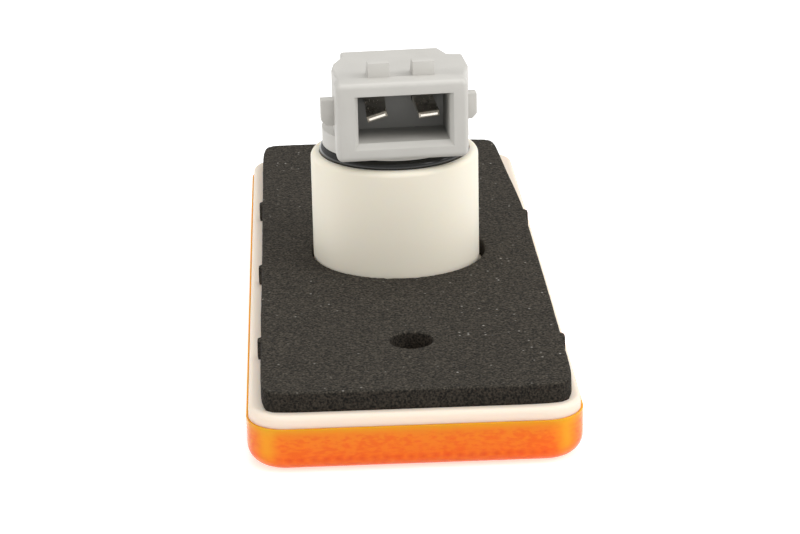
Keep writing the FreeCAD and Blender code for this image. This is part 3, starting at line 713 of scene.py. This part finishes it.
def add_foam_pits(tree, start, place, axes):
    """The way inward to the pits of the skin, deeper towards the top of the sheet."""
    normal = add_node(tree, "GeometryNodeInputNormal")
    above_seat = maths(tree, "SUBTRACT", axes["Z"], start["Seat"])
    raised = maths(tree, "DIVIDE", above_seat, start["Thickness"])
    pit = maths(tree, "MULTIPLY", noise_of_length(tree, place, start["Cell"], 2.0), start["Pit"])
    depth = maths(tree, "MULTIPLY", maths(tree, "MULTIPLY", pit, raised), -1.0)
    inward = add_node(tree, "ShaderNodeVectorMath", operation="SCALE")
    join(tree, normal.outputs["Normal"], inward.inputs[0])
    join(tree, depth, inward.inputs["Scale"])
    return inward.outputs["Vector"]


def add_foam_edges(tree, start, place, axes):
    """The way sideways of a soft sheet: wavy sides, rounded corners, a stretch and a drawn-in far right."""
    side = maths(tree, "DIVIDE", axes["X"], start["Half Width"])
    end_share = maths(tree, "DIVIDE", axes["Y"], start["Half Length"])

    swing = maths(tree, "SUBTRACT", noise_of_length(tree, place, start["Wave Length"], 1.0), 0.5)
    waved = maths(tree, "MULTIPLY", maths(tree, "MULTIPLY", swing, start["Wave"]), side)

    beside = maths(tree, "POWER", maths(tree, "ABSOLUTE", side), CORNER_POWER_ACROSS)
    beyond = maths(tree, "POWER", maths(tree, "ABSOLUTE", end_share), CORNER_POWER_ALONG)
    corner = maths(tree, "MULTIPLY", maths(tree, "MULTIPLY", beside, beyond), start["Corner"])
    drawn_in = maths(tree, "MULTIPLY", maths(tree, "MULTIPLY", corner, side), -1.0)

    far = ramp(tree, axes["Y"], start["Taper Start"], start["Half Length"])
    right_share = maths(tree, "MAXIMUM", side, 0.0)
    tapered = maths(tree, "MULTIPLY", maths(tree, "MULTIPLY", far, right_share), start["Taper"])

    stretched = maths(tree, "MULTIPLY", end_share, start["Stretch"])
    shortened = maths(tree, "MULTIPLY", corner, end_share)
    sideways = add_node(tree, "ShaderNodeCombineXYZ")
    outward = maths(tree, "SUBTRACT", maths(tree, "ADD", waved, drawn_in), tapered)
    join(tree, outward, sideways.inputs["X"])
    join(tree, maths(tree, "SUBTRACT", stretched, shortened), sideways.inputs["Y"])
    return sideways.outputs["Vector"]


def make_foam_tree():
    """Pits in the foam's skin and the uneven edges of a soft sheet; its face on the flange stays flat."""
    tree, start, end = new_group(
        "foam_surface",
        "GeometryNodeTree",
        [
            ("Geometry", GEOMETRY, None),
            ("Seat", FLOAT, 0.0),
            ("Thickness", FLOAT, 0.001),
            ("Half Width", FLOAT, 0.001),
            ("Half Length", FLOAT, 0.001),
            ("Stretch", FLOAT, FOAM_STRETCH),
            ("Corner", FLOAT, FOAM_CORNER),
            ("Taper", FLOAT, FOAM_TAPER),
            ("Taper Start", FLOAT, FOAM_TAPER_START),
            ("Cell", FLOAT, FOAM_CELL),
            ("Pit", FLOAT, FOAM_PIT),
            ("Wave Length", FLOAT, FOAM_WAVE_LENGTH),
            ("Wave", FLOAT, FOAM_WAVE),
            ("Material", MATERIAL, None),
        ],
        [("Geometry", GEOMETRY)],
    )
    position = add_node(tree, "GeometryNodeInputPosition")
    place = position.outputs["Position"]
    axes = split_axes(tree, place)
    pits = add_foam_pits(tree, start, place, axes)
    edges = add_foam_edges(tree, start, place, axes)
    move = add_node(tree, "GeometryNodeSetPosition")
    join(tree, start["Geometry"], move.inputs["Geometry"])
    join(tree, vector_maths(tree, "ADD", pits, edges), move.inputs["Offset"])
    finish_tree(tree, move.outputs["Geometry"], start, end)
    return tree


def make_foam_gasket():
    low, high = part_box("foam_gasket")
    piece = copy_node("foam_gasket", "foam_sheet")
    even = piece.modifiers.new("even_mesh", "REMESH")
    even.mode = "VOXEL"
    even.voxel_size = FOAM_VOXEL
    freeze(piece)
    run_tree(
        piece,
        make_foam_tree(),
        Seat=low.z,
        Thickness=high.z - low.z,
        Half_Width=high.x,
        Half_Length=high.y,
        Material=black_foam,
    )
    smooth_faces(piece)
    stand_for(piece, "foam_gasket")


# Filament

def make_coil_tree():
    """A wire wound into a coil along Z."""
    tree, start, end = new_group(
        "wound_coil",
        "GeometryNodeTree",
        [
            ("Geometry", GEOMETRY, None),
            ("Turns", FLOAT, 10.0),
            ("Radius", FLOAT, 0.001),
            ("Length", FLOAT, 0.001),
            ("Wire", FLOAT, COIL_WIRE),
            ("Steps", "NodeSocketInt", COIL_STEPS),
            ("Material", MATERIAL, None),
        ],
        [("Geometry", GEOMETRY)],
    )
    spiral = add_node(tree, "GeometryNodeCurveSpiral")
    section = add_node(tree, "GeometryNodeCurvePrimitiveCircle", {"Resolution": WIRE_SIDES}, mode="RADIUS")
    sweep = add_node(tree, "GeometryNodeCurveToMesh", {"Fill Caps": True})
    join(tree, start["Steps"], spiral.inputs["Resolution"])
    join(tree, start["Turns"], spiral.inputs["Rotations"])
    join(tree, start["Radius"], spiral.inputs["Start Radius"])
    join(tree, start["Radius"], spiral.inputs["End Radius"])
    join(tree, start["Length"], spiral.inputs["Height"])
    join(tree, start["Wire"], section.inputs["Radius"])
    join(tree, spiral.outputs["Curve"], sweep.inputs["Curve"])
    join(tree, section.outputs["Curve"], sweep.inputs["Profile Curve"])
    finish_tree(tree, sweep.outputs["Mesh"], start, end)
    return tree


def make_filament():
    """Coiled wire between the ends of the bulb's leads, in the place of the CAD rod."""
    low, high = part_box("bulb_filament")
    left = sum(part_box("bulb_lead_left"), Vector()) / 2
    right = sum(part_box("bulb_lead_right"), Vector()) / 2
    along = Vector((right.x - left.x, right.y - left.y, 0.0)).normalized()
    middle = (low + high) / 2
    radius = (high.z - low.z) / 2 - COIL_WIRE
    length = (high.x - low.x) - 2 * COIL_WIRE
    mesh = bpy.data.meshes.new("filament_coil")
    piece = bpy.data.objects.new("filament_coil", mesh)
    scene.collection.objects.link(piece)
    run_tree(
        piece,
        make_coil_tree(),
        Turns=float(COIL_TURNS),
        Radius=radius,
        Length=length,
        Wire=COIL_WIRE,
        Material=filament_wire,
    )
    turn = Vector((0.0, 0.0, 1.0)).rotation_difference(along).to_matrix().to_4x4()
    piece.data.transform(Matrix.Translation(middle - along * length / 2) @ turn)
    stand_for(piece, "bulb_filament")


dress("lens", amber_lens)
dress("housing", ivory_housing)
make_foam_gasket()
make_bulb_holder()
dress("o_ring", black_rubber)
for side in ("left", "right"):
    dress("terminal_" + side, tinned_metal)
    dress("bulb_lead_" + side, bulb_wire)
dress("bulb_glass", clear_glass)
make_filament()


# Floor, light and camera

def make_pale_floor():
    """Matt paint that glows a little to the camera, also by way of shiny or clear pieces, to look white."""
    material = bpy.data.materials.new("pale_floor")
    material.use_nodes = True
    tree = material.node_tree
    tree.nodes.clear()
    paint = (FLOOR_PAINT, FLOOR_PAINT, FLOOR_PAINT, 1.0)
    matt = add_node(tree, "ShaderNodeBsdfDiffuse", {"Color": paint})
    glow = add_node(tree, "ShaderNodeEmission", {"Strength": FLOOR_GLOW})
    path = add_node(tree, "ShaderNodeLightPath")
    lit = add_node(tree, "ShaderNodeAddShader")
    mix = add_node(tree, "ShaderNodeMixShader")
    output = add_node(tree, "ShaderNodeOutputMaterial")
    mirrored = maths(tree, "MAXIMUM", path.outputs["Is Camera Ray"], path.outputs["Is Glossy Ray"])
    seen = maths(tree, "MAXIMUM", mirrored, path.outputs["Is Transmission Ray"])
    join(tree, matt.outputs["BSDF"], lit.inputs[0])
    join(tree, glow.outputs["Emission"], lit.inputs[1])
    join(tree, seen, mix.inputs["Fac"])
    join(tree, matt.outputs["BSDF"], mix.inputs[1])
    join(tree, lit.outputs["Shader"], mix.inputs[2])
    join(tree, mix.outputs["Shader"], output.inputs["Surface"])
    return material


def make_floor():
    """Floor that the camera sees as white, apart from the lamp's shadow."""
    mesh = bpy.data.meshes.new("floor")
    half = FLOOR_SIDE / 2
    height = cad_box[0][2] - FLOOR_GAP
    corners = [(-half, -half, height), (half, -half, height), (half, half, height), (-half, half, height)]
    mesh.from_pydata(corners, [], [(0, 1, 2, 3)])
    mesh.materials.append(make_pale_floor())
    floor = bpy.data.objects.new("floor", mesh)
    scene.collection.objects.link(floor)


def make_soft_box(name, place, width, height, power, shine=True):
    """A soft box aimed at the lamp; one without shine lights the surfaces but isn't mirrored in them."""
    light = bpy.data.lights.new(name, "AREA")
    light.shape = "RECTANGLE"
    light.size = width
    light.size_y = height
    light.energy = power
    soft_box = bpy.data.objects.new(name, light)
    soft_box.location = place
    soft_box.rotation_euler = (LIGHT_AIM - Vector(place)).to_track_quat("-Z", "Y").to_euler()
    soft_box.visible_glossy = shine
    scene.collection.objects.link(soft_box)


def make_light():
    world = bpy.data.worlds.new("studio")
    scene.world = world
    world.use_nodes = True
    background = world.node_tree.nodes["Background"]
    background.inputs["Color"].default_value = (1.0, 1.0, 1.0, 1.0)
    background.inputs["Strength"].default_value = ROOM_LIGHT
    make_soft_box("right_box", place=(0.6, -0.25, 0.5), width=0.5, height=0.5, power=3.0)
    make_soft_box("front_box", place=(0.15, -0.9, 0.25), width=1.0, height=0.4, power=1.7, shine=False)
    make_soft_box("left_box", place=(-0.7, -0.2, 0.3), width=0.5, height=0.4, power=1.5, shine=False)
    make_soft_box("top_box", place=(0.05, 0.1, 0.8), width=0.6, height=0.6, power=3.0)


def make_camera():
    level = Vector((math.sin(CAMERA_YAW), math.cos(CAMERA_YAW), 0.0))
    across = Vector((math.cos(CAMERA_YAW), -math.sin(CAMERA_YAW), 0.0))
    upward = Vector((0.0, 0.0, 1.0))
    ahead = math.cos(CAMERA_PITCH) * level - math.sin(CAMERA_PITCH) * upward
    above = math.sin(CAMERA_PITCH) * level + math.cos(CAMERA_PITCH) * upward
    right = math.cos(CAMERA_ROLL) * across + math.sin(CAMERA_ROLL) * above
    top = -math.sin(CAMERA_ROLL) * across + math.cos(CAMERA_ROLL) * above
    data = bpy.data.cameras.new("camera")
    data.sensor_fit = "HORIZONTAL"
    data.sensor_width = SENSOR_WIDTH
    data.lens = FOCAL_PIXELS / IMAGE_WIDTH * SENSOR_WIDTH
    data.clip_start = CAMERA_NEAREST
    camera = bpy.data.objects.new("camera", data)
    turned = Matrix((right, top, -ahead)).transposed().to_4x4()
    camera.matrix_world = Matrix.Translation(CAMERA_PLACE) @ turned
    scene.collection.objects.link(camera)
    scene.camera = camera


make_floor()
make_light()
make_camera()
scene.view_settings.view_transform = "Standard"
